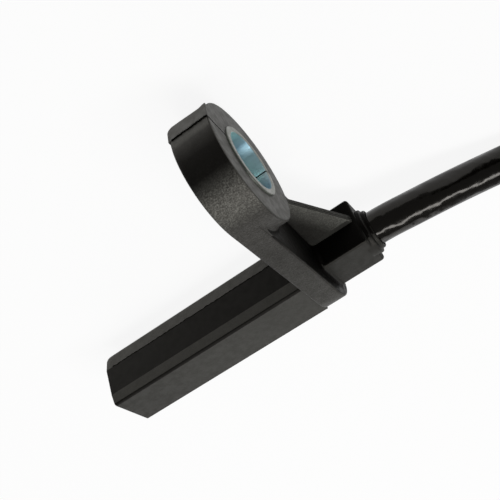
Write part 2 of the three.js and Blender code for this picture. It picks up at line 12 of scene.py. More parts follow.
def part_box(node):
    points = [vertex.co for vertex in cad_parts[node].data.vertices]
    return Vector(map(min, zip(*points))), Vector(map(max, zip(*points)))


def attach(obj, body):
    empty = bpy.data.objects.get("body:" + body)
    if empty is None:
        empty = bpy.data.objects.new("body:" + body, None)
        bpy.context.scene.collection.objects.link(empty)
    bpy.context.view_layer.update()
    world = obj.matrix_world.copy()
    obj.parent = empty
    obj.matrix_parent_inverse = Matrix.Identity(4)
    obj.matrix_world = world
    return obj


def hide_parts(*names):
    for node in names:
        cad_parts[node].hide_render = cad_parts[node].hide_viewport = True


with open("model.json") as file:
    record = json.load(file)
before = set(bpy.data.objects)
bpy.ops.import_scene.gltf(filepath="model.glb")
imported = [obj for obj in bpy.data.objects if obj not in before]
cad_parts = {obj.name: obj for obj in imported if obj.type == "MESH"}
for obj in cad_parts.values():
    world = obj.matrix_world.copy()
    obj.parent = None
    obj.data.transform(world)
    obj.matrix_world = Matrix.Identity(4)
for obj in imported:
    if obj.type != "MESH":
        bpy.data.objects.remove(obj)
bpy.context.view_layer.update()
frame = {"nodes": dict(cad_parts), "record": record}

MM = 0.001

# Sizes of the head in millimetres, and its turns in radians, close to those of the solids
BOLT_DISTANCE = 23.2
EYE_RADIUS = 8.94
NOSE_END_RADIUS = 6.05
PLATE = 3.7
EYE_HEIGHT = 5.95
NOSE_LENGTH = 34.6
BOX_END = 11.2
COLLAR_END = 12.35
CLOCKING = math.radians(6.7)
REST_TILT = math.asin((EYE_RADIUS - NOSE_END_RADIUS) / BOLT_DISTANCE)
BUSHING_SEAT = 0.1
BUSHING_TOP = 6.2
BUSHING_RADIUS = 5.18
BUSHING_BORE_RADIUS = 4.28
BOLT_BORE_RADIUS = 5.2
CABLE_RADIUS = 2.55
NOSE_HALF = 4.2
PAD_TURN = math.radians(-7.6)

# Sides of a disc, and steps round an edge
DISC_SIDES = 96
EDGE_STEPS = 5

# The coil lies this far from the lead's exit, and its turns sit on the tie's strap
COIL_FROM_EXIT = (69.83, 12.76)
TURN_RADII = (30.6, 25.4)
TURN_HEIGHTS = (2.95, 8.05)
STRAP = 0.4
TIE_ANGLE = math.radians(-92)
COIL_START = -105.4
CLIMB = (-72, 20)
TAIL_TURN = 21
PLUG_AXIS = 7.2
CORES_OUT = 10.6

# Route of the lead from its exit, in metres: x and y from the exit, z from the floor
LEAD_ROUTE = (
    (-0.0065, 0.0, 0.00605),
    (-0.003, 0.0, 0.00605),
    (0.0, 0.0, 0.00605),
    (0.0017, -0.0001, 0.00602),
    (0.0034, -0.00036, 0.00591),
    (0.0052, -0.00074, 0.00574),
    (0.007, -0.00117, 0.0055),
    (0.0089, -0.00168, 0.00518),
    (0.011, -0.0023, 0.00479),
    (0.0133, -0.00303, 0.00434),
    (0.0155, -0.00375, 0.00392),
    (0.0177, -0.00446, 0.00354),
    (0.0202, -0.00522, 0.00317),
    (0.0227, -0.00595, 0.00287),
    (0.0257, -0.0068, 0.00264),
    (0.0287, -0.00762, 0.00256),
    (0.036, -0.0097, 0.00259),
    (0.044, -0.01195, 0.00272),
    (0.053, -0.01437, 0.00286),
)


def middle(node):
    low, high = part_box(node)
    return (Vector(low) + Vector(high)) / 2


# Where the head lies: its seat face, and the lead's axis there
EYE = middle("bolt_bushing")
SEAT_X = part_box("bolt_bushing")[0][0] + BUSHING_SEAT * MM
AXIS = Vector(
    (
        SEAT_X,
        EYE.y - BOLT_DISTANCE * MM * math.cos(REST_TILT),
        EYE.z - BOLT_DISTANCE * MM * math.sin(REST_TILT),
    )
)
LYING = Matrix(
    (
        (0, 0, 1),
        (math.sin(REST_TILT), math.cos(REST_TILT), 0),
        (-math.cos(REST_TILT), math.sin(REST_TILT), 0),
    )
)
HEAD = Matrix.Translation(AXIS) @ LYING.to_4x4() @ Matrix.Scale(MM, 4)
EXIT = Vector((SEAT_X + COLLAR_END * MM, AXIS.y, 0))
COIL = EXIT + Vector((*COIL_FROM_EXIT, 0)) * MM
PLUG = Vector((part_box("plug_housing")[1][0], middle("plug_housing").y, 0))
PLUG.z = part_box("plug_housing")[0][2] + PLUG_AXIS * MM


# Camera

CAMERA_FROM_AXIS = Vector((0.026808, 0.07367, 0.091227))
CAMERA_TURN = Matrix(
    (
        (0.80378, 0.52873, 0.27273),
        (-0.57559, 0.57521, 0.58124),
        (0.15044, -0.62417, 0.76667),
    )
)


def make_camera():
    data = bpy.data.cameras.new("camera")
    data.sensor_width = 36
    data.lens = 56.024
    data.clip_start = 0.01
    camera = bpy.data.objects.new("camera", data)
    place = Vector((AXIS.x, AXIS.y, 0)) + CAMERA_FROM_AXIS
    camera.matrix_world = Matrix.Translation(place) @ CAMERA_TURN.to_4x4()
    bpy.context.collection.objects.link(camera)
    bpy.context.scene.camera = camera


make_camera()


# Materials


class Nodes:
    """Short words for building one material's nodes."""

    def __init__(self, name):
        self.material = bpy.data.materials.new(name)
        self.material.use_nodes = True
        self.tree = self.material.node_tree
        self.shader = self.tree.nodes["Principled BSDF"]
        self.output = self.tree.nodes["Material Output"]

    def add(self, kind, **settings):
        node = self.tree.nodes.new(kind)
        for key, value in settings.items():
            setattr(node, key, value)
        return node

    def link(self, source, target):
        self.tree.links.new(source, target)

    def value(self, socket, value):
        """A socket takes a number, a colour or another node's output."""
        if isinstance(value, bpy.types.NodeSocket):
            self.link(value, socket)
        else:
            socket.default_value = value

    def math(self, operation, a, b=0.0, clamp=False):
        node = self.add("ShaderNodeMath", operation=operation, use_clamp=clamp)
        self.value(node.inputs[0], a)
        self.value(node.inputs[1], b)
        return node.outputs[0]

    def mix(self, factor, a, b, blend="MIX"):
        node = self.add("ShaderNodeMix", data_type="RGBA", blend_type=blend)
        self.value(node.inputs["Factor"], factor)
        self.value(node.inputs[6], a)
        self.value(node.inputs[7], b)
        return node.outputs[2]

    def span(self, value, low, high, to_low=0.0, to_high=1.0):
        node = self.add("ShaderNodeMapRange")
        node.interpolation_type = "SMOOTHSTEP"
        for socket, number in zip(node.inputs, (value, low, high, to_low, to_high)):
            self.value(socket, number)
        return node.outputs[0]

    def place(self):
        return self.add("ShaderNodeTexCoord").outputs["Object"]

    def noise(self, scale, detail=2.0, roughness=0.5, where=None):
        node = self.add("ShaderNodeTexNoise")
        self.link(where or self.place(), node.inputs["Vector"])
        for key, number in (("Scale", scale), ("Detail", detail), ("Roughness", roughness)):
            node.inputs[key].default_value = number
        return node.outputs["Fac"]

    def bump(self, height, distance, strength):
        node = self.add("ShaderNodeBump")
        self.link(height, node.inputs["Height"])
        node.inputs["Distance"].default_value = distance
        self.value(node.inputs["Strength"], strength)
        self.link(node.outputs["Normal"], self.shader.inputs["Normal"])

    def set(self, **sockets):
        for key, value in sockets.items():
            self.value(self.shader.inputs[key.replace("_", " ")], value)


def rgb(red, green, blue):
    return (red, green, blue, 1.0)


def moulded_nylon():
    """Black glass-filled nylon. The corner attribute holds tone with painted light and shade, grain
    and sheen.
    """
    n = Nodes("moulded_nylon")
    attribute = n.add("ShaderNodeAttribute", attribute_name="moulding")
    split = n.add("ShaderNodeSeparateColor")
    n.link(attribute.outputs["Color"], split.inputs["Color"])
    tone, grain, sheen = split.outputs
    mottle = n.span(n.noise(420, 3.0, 0.6), 0.3, 0.7, 0.95, 1.05)
    speckle = n.span(n.noise(4800, 2.0, 0.7), 0.35, 0.75, -0.35, 0.75)
    lift = n.math("ADD", mottle, n.math("MULTIPLY", grain, speckle))
    shade = n.math("MULTIPLY", tone, lift)
    n.set(
        Base_Color=n.mix(shade, rgb(0.0012, 0.001, 0.0009), rgb(0.2, 0.199, 0.178)),
        Specular_Tint=rgb(1, 0.93, 0.84),
        Roughness=n.span(n.noise(900, 2.0, 0.6), 0.3, 0.7, 0.42, 0.56),
        Specular_IOR_Level=sheen,
    )
    height = n.math(
        "ADD",
        n.math("MULTIPLY", n.noise(3300, 2.0, 0.6), n.math("ADD", grain, 0.12)),
        n.math("MULTIPLY", n.noise(330, 1.0), 0.1),
    )
    n.bump(height, 0.00006, 0.7)
    return n.material


def passivated_steel():
    """Blue-green passivated sleeve, duller and paler on its end, with a painted glare round the
    bore.
    """
    n = Nodes("passivated_steel")
    attribute = n.add("ShaderNodeAttribute", attribute_name="round")
    tint_and_glare = n.add("ShaderNodeValToRGB")
    n.link(attribute.outputs["Fac"], tint_and_glare.inputs["Fac"])
    stops = tint_and_glare.color_ramp.elements
    stops[0].color = rgb(0.55, 0.8, 0.86)
    stops[1].color = rgb(0.19, 0.2, 0.175)
    # Colours round the bore: blue and teal passivation, near white from 0.3 to 0.38 where a glare is
    # painted.
    for position, colour in (
        (0.12, rgb(0.2, 0.34, 0.42)),
        (0.2, rgb(0.42, 0.68, 0.66)),
        (0.3, rgb(0.75, 1.0, 0.9)),
        (0.38, rgb(0.9, 1.0, 0.88)),
        (0.48, rgb(0.4, 0.56, 0.58)),
        (0.6, rgb(0.26, 0.4, 0.5)),
        (0.7, rgb(0.4, 0.5, 0.5)),
    ):
        stops.new(position).color = colour
    drawn_out = n.add("ShaderNodeVectorMath", operation="MULTIPLY")
    n.link(n.place(), drawn_out.inputs[0])
    drawn_out.inputs[1].default_value = (0.12, 1, 1)
    scratches = n.noise(2600, 2.0, where=drawn_out.outputs[0])
    n.set(
        Base_Color=n.mix(0.25, tint_and_glare.outputs["Color"], scratches, "MULTIPLY"),
        Metallic=0.6,
        Roughness=n.span(scratches, 0.3, 0.7, 0.3, 0.46),
    )
    n.bump(scratches, 0.00002, 0.4)
    return n.material


def jacket_rubber():
    """Glossy black lead jacket, a little uneven."""
    n = Nodes("jacket_rubber")
    edge = n.add("ShaderNodeLayerWeight")
    wave = n.noise(260, 2.0, 0.5)
    pits = n.noise(1500, 1.0, 0.5)
    n.set(
        Base_Color=n.mix(wave, rgb(0.0008, 0.0006, 0.0003), rgb(0.0022, 0.0017, 0.0011)),
        Specular_Tint=rgb(1, 0.96, 0.9),
        Roughness=n.span(pits, 0.3, 0.7, 0.15, 0.2),
        Specular_IOR_Level=n.span(edge.outputs["Facing"], 0.45, 0.95, 0.32, 0.02),
    )
    n.bump(n.math("ADD", wave, n.math("MULTIPLY", pits, 0.04)), 0.0005, 0.8)
    return n.material


def patchy(name, colour, roughness, metallic=0.0, grain=0.3, scale=1800):
    """One colour, a little lighter and duller in patches, over a fine grain."""
    n = Nodes(name)
    patches = n.noise(380, 3.0, 0.6)
    fine = n.noise(scale, 2.0, 0.6)
    darker = rgb(*(0.82 * part for part in colour))
    lighter = rgb(*(1.16 * part for part in colour))
    n.set(
        Base_Color=n.mix(n.span(patches, 0.3, 0.7), darker, lighter),
        Roughness=n.span(fine, 0.3, 0.7, roughness - 0.07, roughness + 0.07),
        Metallic=metallic,
    )
    height = n.math("ADD", n.math("MULTIPLY", patches, 0.2), n.math("MULTIPLY", fine, grain))
    n.bump(height, 0.00008, 0.8)
    return n.material


MATERIALS = {
    "housing_plastic": moulded_nylon(),
    "bushing_steel": passivated_steel(),
    "cord_jacket": jacket_rubber(),
    "core_dark": patchy("core_insulation_dark", (0.012, 0.012, 0.014), 0.4, grain=0.15),
    "core_light": patchy("core_insulation_light", (0.62, 0.58, 0.48), 0.45, grain=0.15),
    "copper": patchy("stranded_copper", (0.72, 0.36, 0.2), 0.3, 1.0, 0.4, 3200),
    "tinned_metal": patchy("tinned_contact", (0.62, 0.6, 0.55), 0.28, 1.0, 0.12),
    "carrier_plastic": patchy("carrier_nylon", (0.02, 0.02, 0.02), 0.6),
    "chip_epoxy": patchy("chip_epoxy", (0.008, 0.008, 0.009), 0.35, grain=0.15, scale=3600),
    "magnet": patchy("sintered_magnet", (0.2, 0.2, 0.21), 0.5, 1.0, 0.5),
    "capacitor": patchy("capacitor_ceramic", (0.36, 0.2, 0.09), 0.4, grain=0.2),
    "plug_plastic": patchy("plug_nylon", (0.014, 0.014, 0.015), 0.5, grain=0.4),
    "lock_plastic": patchy("lock_nylon", (0.5, 0.47, 0.38), 0.5, grain=0.25),
    "seal_rubber": patchy("seal_silicone", (0.36, 0.1, 0.04), 0.55, grain=0.2, scale=900),
}


# Shapes


def new_piece(name, mesh, slot):
    piece = bpy.data.objects.new(name, mesh)
    bpy.context.collection.objects.link(piece)
    mesh.materials.clear()
    mesh.materials.append(MATERIALS[slot])
    return piece


def mesh_of(name, shape):
    mesh = bpy.data.meshes.new(name)
    shape.to_mesh(mesh)
    shape.free()
    return mesh


def outline(corners, inset, steps=6):
    """Rounded convex outline drawn inwards by inset. Corners are x, y and radius."""
    sides = []
    for (ax, ay, _), (bx, by, _) in zip(corners, corners[1:] + corners[:1]):
        length = math.hypot(bx - ax, by - ay)
        nx, ny = (by - ay) / length, (ax - bx) / length
        sides.append((nx, ny, nx * ax + ny * ay - inset))
    points = []
    for i, (_, _, radius) in enumerate(corners):
        (px, py, p), (qx, qy, q) = sides[i - 1], sides[i]
        spread = px * qy - py * qx
        x, y = (p * qy - q * py) / spread, (px * q - qx * p) / spread
        radius = max(radius - inset, 0.02)
        start = math.atan2(py, px)
        turn = (math.atan2(qy, qx) - start) % math.tau
        reach = radius / math.cos(turn / 2)
        x -= reach * math.cos(start + turn / 2)
        y -= reach * math.sin(start + turn / 2)
        for k in range(steps + 1):
            angle = start + turn * k / steps
            points.append((x + radius * math.cos(angle), y + radius * math.sin(angle)))
    return points


def disc(radius, inset=0.0):
    r = radius - inset
    angles = (math.tau * k / DISC_SIDES for k in range(DISC_SIDES))
    return [(r * math.cos(a), r * math.sin(a)) for a in angles]


def flange_outline(inset):
    """Tangent hull of the eye and of the nose's end. The eye's edge is the rounder one."""
    arcs = (
        (BOLT_DISTANCE, EYE_RADIUS - 0.01 - 1.8 * inset, -REST_TILT, math.pi + 2 * REST_TILT),
        (0.0, NOSE_END_RADIUS - inset, math.pi + REST_TILT, math.pi - 2 * REST_TILT),
    )
    points = []
    for y, radius, start, turn in arcs:
        for k in range(49):
            angle = start + turn * k / 48
            points.append((radius * math.cos(angle), y + radius * math.sin(angle)))
    return points


def rounded(low, high, low_round, high_round):
    """Pairs of inset and height for a prism with rounded end edges."""
    levels = []
    for k in range(EDGE_STEPS + 1):
        a = math.pi / 2 * k / EDGE_STEPS
        levels.append((low_round * (1 - math.sin(a)), low + low_round * (1 - math.cos(a))))
    for k in range(EDGE_STEPS + 1):
        a = math.pi / 2 * (1 - k / EDGE_STEPS)
        levels.append((high_round * (1 - math.sin(a)), high - high_round * (1 - math.cos(a))))
    return levels


def loft(loops):
    """Closed solid through loops of the same number of points."""
    shape = bmesh.new()
    rows = [[shape.verts.new(p) for p in loop] for loop in loops]
    for a, b in pairwise(rows):
        for i in range(len(a)):
            j = (i + 1) % len(a)
            shape.faces.new((a[i], a[j], b[j], b[i]))
    shape.faces.new(rows[0][::-1])
    shape.faces.new(rows[-1])
    return shape


def stack(draw, levels):
    """Loft of an outline drawn at each pair of inset and height."""
    return loft([[(x, y, z) for x, y in draw(inset)] for inset, z in levels])


def turn_about_z(shape, angle, x=0.0, y=0.0):
    place = Matrix.Translation((x, y, 0)) @ Matrix.Rotation(angle, 4, "Z")
    bmesh.ops.transform(shape, matrix=place, verts=shape.verts)
    return shape


def applied(piece):
    """Mesh of a piece with its modifiers in force."""
    graph = bpy.context.evaluated_depsgraph_get()
    return bpy.data.meshes.new_from_object(piece.evaluated_get(graph))


def combine(name, first, others):
    """Exact boolean of the first shape with pairs of operation and shape."""
    body = bpy.data.objects.new(name, mesh_of(name, first))
    bpy.context.collection.objects.link(body)
    for operation, shape in others:
        tool = bpy.data.objects.new(f"{name}_tool", mesh_of(f"{name}_tool", shape))
        bpy.context.collection.objects.link(tool)
        change = body.modifiers.new("step", "BOOLEAN")
        change.operation = operation
        change.solver = "EXACT"
        change.object = tool
        made = applied(body)
        body.modifiers.clear()
        body.data = made
        bpy.data.objects.remove(tool)
    mesh = body.data
    bpy.data.objects.remove(body)
    shape = bmesh.new()
    shape.from_mesh(mesh)
    return shape


def shade_by_angle(mesh, degrees=32):
    mesh.shade_smooth()
    mesh.set_sharp_from_angle(angle=math.radians(degrees))


def flatten_flats(piece):
    """Creases between large flats, and normals that leave flats flat beside small rounds."""
    shape = bmesh.new()
    shape.from_mesh(piece.data)
    for edge in shape.edges:
        if len(edge.link_faces) == 2 and edge.calc_face_angle(0) > math.radians(5):
            if min(face.calc_area() for face in edge.link_faces) > 2.5 * MM * MM:
                edge.smooth = False
    shape.to_mesh(piece.data)
    shape.free()
    even = piece.modifiers.new("even", "WEIGHTED_NORMAL")
    even.keep_sharp = True
    made = applied(piece)
    piece.modifiers.clear()
    piece.data = made


def settle(name, shape, slot, place, degrees=32):
    """Finished piece from a shape in millimetres, with its place in its mesh."""
    bmesh.ops.transform(shape, matrix=place, verts=shape.verts)
    bmesh.ops.recalc_face_normals(shape, faces=shape.faces)
    mesh = mesh_of(name, shape)
    shade_by_angle(mesh, degrees)
    return new_piece(name, mesh, slot)


# Lead, coiled and tied, as one cord


def catmull(points, per_span):
    """Points on one smooth curve through the given ones."""
    ends = [points[0] * 2 - points[1], *points, points[-1] * 2 - points[-2]]
    path = []
    for p0, p1, p2, p3 in zip(ends, ends[1:], ends[2:], ends[3:]):
        for k in range(per_span):
            t = k / per_span
            path.append(
                0.5
                * (
                    2 * p1
                    + (p2 - p0) * t
                    + (2 * p0 - 5 * p1 + 4 * p2 - p3) * t**2
                    + (3 * p1 - p0 - 3 * p2 + p3) * t**3
                )
            )
    path.append(points[-1])
    return path


def ease(value, low, high):
    t = min(max((value - low) / (high - low), 0), 1)
    return t * t * (3 - 2 * t)


def coil_points():
    """Out and low, in and low, in and high, out and high, then up and round to the plug."""
    outer, inner = TURN_RADII
    low, high = TURN_HEIGHTS
    climb_start, climb_end = (1080 + angle - COIL_START for angle in CLIMB)
    count = 100
    points = []
    for k in range(count + 1):
        done = climb_end * k / count
        radius = outer + (inner - outer) * (ease(done, 298, 358) - ease(done, 900, 960))
        height = low + (high - low) * ease(done, 600, 660)
        height += (PLUG.z / MM - high) * ease(done, climb_start, climb_end)
        angle = math.radians(COIL_START + done)
        points.append(Vector((radius * math.cos(angle), radius * math.sin(angle), height)))
    turn_start = math.radians(CLIMB[1])
    across, along = ((outer - TAIL_TURN) * f(turn_start) for f in (math.cos, math.sin))
    for k in range(1, 9):
        angle = turn_start + (math.pi / 2 - turn_start) * k / 8
        spot = (across + TAIL_TURN * math.cos(angle), along + TAIL_TURN * math.sin(angle))
        points.append(Vector((*spot, PLUG.z / MM)))
    return [COIL + p * MM for p in points] + [PLUG + Vector((CORES_OUT * MM, 0, 0))]


def tube(name, path, radius, resolution):
    """Curve with a round section along the points of a path."""
    curve = bpy.data.curves.new(name, "CURVE")
    curve.dimensions = "3D"
    curve.bevel_depth = radius * MM
    curve.bevel_resolution = resolution
    curve.use_fill_caps = True
    spline = curve.splines.new("POLY")
    spline.points.add(len(path) - 1)
    for point, spot in zip(spline.points, path):
        point.co = (*spot, 1)
    spline.use_smooth = True
    holder = bpy.data.objects.new(name, curve)
    bpy.context.collection.objects.link(holder)
    return holder


def make_cable():
    lead = [EXIT + Vector(p) for p in LEAD_ROUTE]
    path = catmull(lead + coil_points(), 4)
    cable = tube("sensor_lead", path, CABLE_RADIUS, 8)
    cable.data.materials.append(MATERIALS["cord_jacket"])
    length = sum((b - a).length for a, b in pairwise(path))
    return cable, length


cable, cable_length = make_cable()


# Sensor head


def round_off(depth, radius):
    """How far a rounded edge stands back at a depth from the end."""
    return radius - math.sqrt(max(radius**2 - max(radius - depth, 0) ** 2, 0))


NOSE_STEPS = (0, 0.03, 0.08, 0.14, 0.2, 0.35, 0.55, 0.8, 1.15, 1.6)


def nose():
    """Square bar with a drafted far side, from its crowned tip to the flange."""
    low, high, half = -4.9, 3.9, NOSE_HALF
    corners = [
        (low, -half, 0.25),
        (high, -half, 0.6),
        (high, half - 0.42, 0.6),
        (1.44, half, 0.03),
        (-3.04, half, 0.03),
        (low, half - 0.2, 0.5),
    ]
    far_round, edge_round, crown, tip = 1.6, 0.2, 0.15, NOSE_LENGTH + 0.3
    levels = [(round_off(d, edge_round), d, round_off(d, far_round)) for d in NOSE_STEPS]
    levels += [(0.0, z + tip, 0.0) for z in range(-32, 0, 2)]
    levels += [(inset, z + tip, 0.0) for inset, z in ((0, 0.02), (1.2, 0.021), (1.2, 2.5))]
    loops = []
    for inset, d, far_drop in levels:
        bulge = crown * (1 - d / far_round) if d < far_round else 0.0
        loops.append(
            [
                (min(x, high - far_drop), y, d - tip - bulge * (1 - ((x + 0.5) / 4.4) ** 2))
                for x, y in outline(corners, inset)
            ]
        )
    return turn_about_z(loft(loops), CLOCKING)


def plate():
    return stack(flange_outline, rounded(0.0, PLATE, 0.35, 0.3))


def eye():
    levels = rounded(0.0, EYE_HEIGHT, 0.63, 0.22)
    return turn_about_z(stack(lambda inset: disc(EYE_RADIUS, inset), levels), 0, 0, BOLT_DISTANCE)


def concave_foot(size, start, steps):
    """Pairs of inset and height for a hollow round on the plate."""
    levels = [(-size, start), (-size, PLATE + 0.01)]
    for k in range(1, steps + 1):
        a = math.pi / 2 * k / steps
        levels.append((-size * (1 - math.sin(a)) + 0.01, PLATE + size * (1 - math.cos(a))))
    return levels


def eye_fillet():
    """Concave foot of the eye where it stands on the plate."""
    levels = concave_foot(0.75, 2.9, 6)
    flare = turn_about_z(stack(lambda inset: disc(EYE_RADIUS, inset), levels), 0, 0, BOLT_DISTANCE)
    limit = stack(flange_outline, [(0.03, 0.5), (0.03, EYE_HEIGHT)])
    return combine("eye_fillet", flare, [("INTERSECT", limit)])


def pad():
    """Flat on the eye's outer end. Its far edge leans out towards the seat."""
    far_top, far_seat, seat_round = 2.2, 2.6, 1.1
    corners = [
        (-0.5, EYE_RADIUS - 2, 0.05),
        (far_seat + 0.1, EYE_RADIUS - 2, 0.05),
        (far_seat + 0.1, EYE_RADIUS + 0.06, 0.2),
        (-0.5, EYE_RADIUS + 0.06, 0.05),
    ]
    levels = [(0.0, z) for z in (0, 0.05, 0.15, 0.3, 0.5, 0.75, 1, 2, 3, 4, 5)]
    levels += [(0.0, EYE_HEIGHT - 0.4), (0.0, EYE_HEIGHT - 0.06), (0.05, EYE_HEIGHT - 0.005)]
    loops = []
    for inset, z in levels:
        reach = far_seat + (far_top - far_seat) * z / EYE_HEIGHT - round_off(z, seat_round)
        reach += 0.4 * ease(z, EYE_HEIGHT - 1.1, EYE_HEIGHT - 0.3)
        loops.append([(min(x, reach - inset), y, z) for x, y in outline(corners, inset, 4)])
    return turn_about_z(loft(loops), PAD_TURN, 0, BOLT_DISTANCE)


# Rib's crest: how far across it and how far down
CREST = (
    (0, 0.2),
    (0.06, 0.07),
    (0.2, 0.0),
    (0.4, 0.0),
    (0.44, 0.16),
    (0.54, 0.16),
    (0.58, -0.02),
    (1.0, -0.04),
    (1.04, 0.14),
    (1.3, 0.2),
    (2.1, 0.8),
)


def rib():
    """Profile along the line to the bolt, crested at the parting plane."""
    face = 3.72
    near_eye = BOLT_DISTANCE - EYE_RADIUS
    loops = []
    for across, drop in CREST:
        top_eye, top_box = EYE_HEIGHT - 0.15 - drop, BOX_END - 0.55 - drop
        profile = (
            (1.0, 0.5),
            (near_eye + 2, 0.5),
            (near_eye + 2, top_eye),
            (near_eye - 1, top_eye),
            (face, top_box),
            (1.0, top_box),
        )
        loops.append([(across, y, z) for y, z in profile])
    return loft(loops)


BOX_CORNERS = [(-3.35, -3.34, 0.5), (4.3, -3.34, 0.5), (4.3, 4.1, 0.45), (-3.35, 3.34, 0.5)]


def lead_box():
    levels = [(0.0, 2.5), *rounded(BOX_END - 1, BOX_END, 0.0, 0.5)[EDGE_STEPS + 1 :]]
    return turn_about_z(stack(lambda inset: outline(BOX_CORNERS, inset), levels), CLOCKING)


def box_foot():
    """Concave foot of the box, kept on the plate."""
    levels = concave_foot(0.7, 2.5, 5)
    foot = turn_about_z(stack(lambda inset: outline(BOX_CORNERS, inset), levels), CLOCKING)
    limit = stack(flange_outline, [(0.3, 0.5), (0.3, PLATE + 0.3), (0.7, PLATE + 1)])
    return combine("box_foot", foot, [("INTERSECT", limit)])


def collar():
    steps = (
        (3.55, BOX_END - 1),
        (3.55, BOX_END + 0.35),
        (3.48, BOX_END + 0.5),
        (3.3, BOX_END + 0.58),
        (3.14, BOX_END + 0.66),
        (3.08, BOX_END + 0.8),
        (3.06, COLLAR_END - 0.12),
        (2.96, COLLAR_END),
    )
    return loft([[(x, y, z) for x, y in disc(r)] for r, z in steps])


def cavity():
    corners = [(-3.8, -3.1, 0.6), (2.8, -3.1, 0.6), (2.8, 3.1, 0.6), (-3.8, 3.1, 0.6)]
    shape = stack(lambda inset: outline(corners, inset), [(0, -33.4), (0, PLATE - 0.4)])
    return turn_about_z(shape, CLOCKING)


def jagged(start, end, outward, sizes, steps=60, seed=0.0, ragged=0.5):
    """Thin bar from start to end, its width and depth ragged. Sizes are width, depth and height."""
    start, end, outward = Vector(start), Vector(end), Vector(outward)
    along = (end - start).normalized()
    side = along.cross(outward).normalized()
    width, depth, height = sizes
    loops = []
    for k in range(steps + 1):
        spot = start + (end - start) * k / steps
        wobble = noise.noise(Vector((k * 0.55 + seed, seed, 0.3)))
        lift = 1 + ragged * noise.noise(Vector((k * 0.9 + seed, 5.1, seed)))
        spot += side * wobble * width * ragged
        half = side * width / 2 * lift
        low, top = -outward * depth, outward * height * lift
        foot = [spot - half + low, spot + half + low]
        loops.append([*foot, spot + half * 0.5 + top, spot - half * 0.5 + top])
    return loft(loops)


def at_pad(x, y, z):
    """Point of the pad's own frame in the head's."""
    turn = Matrix.Rotation(PAD_TURN, 3, "Z")
    return turn @ Vector((x, y, z)) + Vector((0, BOLT_DISTANCE, 0))


def parting_lines():
    """Flash across the eye's end face, along the nose's drafted side and beside the pad. Its faces
    get a painted near-black shade line.
    """
    angle = math.radians(87)
    ends = [
        (r * math.cos(angle), BOLT_DISTANCE + r * math.sin(angle), EYE_HEIGHT) for r in (5.24, 8.85)
    ]
    turn = Matrix.Rotation(CLOCKING, 3, "Z")
    nose_line = [turn @ Vector((1.46, NOSE_HALF, z)) for z in (1 - NOSE_LENGTH, -0.05)]
    pad_line = [at_pad(-0.52, EYE_RADIUS + 0.02, z) for z in (0.5, EYE_HEIGHT - 0.02)]
    outward = at_pad(0, 1, 0) - at_pad(0, 0, 0)
    return (
        jagged(*ends, (0, 0, 1), (0.2, 0.1, 0.04), 30, 2.0, 0.7),
        jagged(*nose_line, turn @ Vector((0, 1, 0)), (0.16, 0.1, 0.05), 110, 7.0, 0.8),
        jagged(*pad_line, outward, (0.18, 0.1, 0.16), 70, 3.0, 0.9),
    )


def blend(value, stops):
    """Straight steps through pairs of value and result."""
    for (low, first), (high, last) in pairwise(stops):
        if value <= high:
            share = min(max((value - low) / (high - low), 0), 1)
            return first + (last - first) * share
    return stops[-1][1]


def wall_painted_light(angle):
    """Round the eye's wall, painted light and shade by angle: satin and lit past the pad, a painted
    black shade, then lit grey with grain.
    """
    tone = blend(angle, ((95, 0.1), (112, 0.02), (132, 0.02), (152, 0.34), (168, 0.32), (182, 0.08)))
    sheen = blend(angle, ((95, 0.32), (112, 0.13), (132, 0.13), (152, 0.34)))
    grain = blend(angle, ((120, 0.3), (150, 1.5)))
    return tone, grain, sheen


def nose_painted_light(facing, centre, spot):
    """Painted light and shade by face: satin top lighter towards the flange, gloss-black side with
    painted shade that deepens by the flange, a lit grey band at its edge, and a lit grey drafted
    side.
    """
    if facing.y > 0.9 and centre.x < -3.04:
        return 0.19, 0.2, 0.28
    if facing.y > 0.93 and centre.x < 1.5:
        return blend(spot.z, ((-30, 0.05), (-16, 0.03), (-2, 0.02))), 0.1, 0.12
    if facing.y > 0.5 and centre.x > 0:
        return 0.19, 0.3, 0.36
    if facing.x < -0.1 and facing.y > 0.1:
        return 0.03, 0.1, 0.1
    return blend(spot.z, ((-32, 0.12), (-16, 0.17))), 0.15, 0.12


def eye_painted_light(normal, centre, from_eye):
    # Painted light and shade on the eye: its end face darker towards the rib, the pad's face lit,
    # and faces sloping up painted near black.
    if centre.z > EYE_HEIGHT - 0.25 and normal.z > 0.5:
        return blend(centre.y, ((14, 0.12), (19, 0.2), (26, 0.32))), 0.15, 0.2
    if abs(normal.z) < 0.7 and abs(from_eye.length - EYE_RADIUS) < 0.7 and from_eye.x < -0.6:
        return wall_painted_light(math.degrees(math.atan2(from_eye.y, from_eye.x)) % 360)
    if normal.y > 0.9:
        return 0.31, 0.2, 0.34
    if normal.z > 0.2:
        return 0.02, 0.4, 0.08
    return 0.07, 0.5, 0.2


def rib_painted_shade(spot):
    """Satin and painted light under the crest, painted shade down to the web."""
    slope = (BOX_END - EYE_HEIGHT) / (BOLT_DISTANCE - EYE_RADIUS - 3.72)
    crest = BOX_END - 0.7 - slope * (spot.y - 3.72)
    down = crest - spot.z
    end = blend(spot.y, ((4, 1.15), (8, 0.8), (14, 1.1)))
    return blend(down, ((0, 0.36), (1.2, 0.27), (3.2, 0.06))) * end, 0.8, 0.2


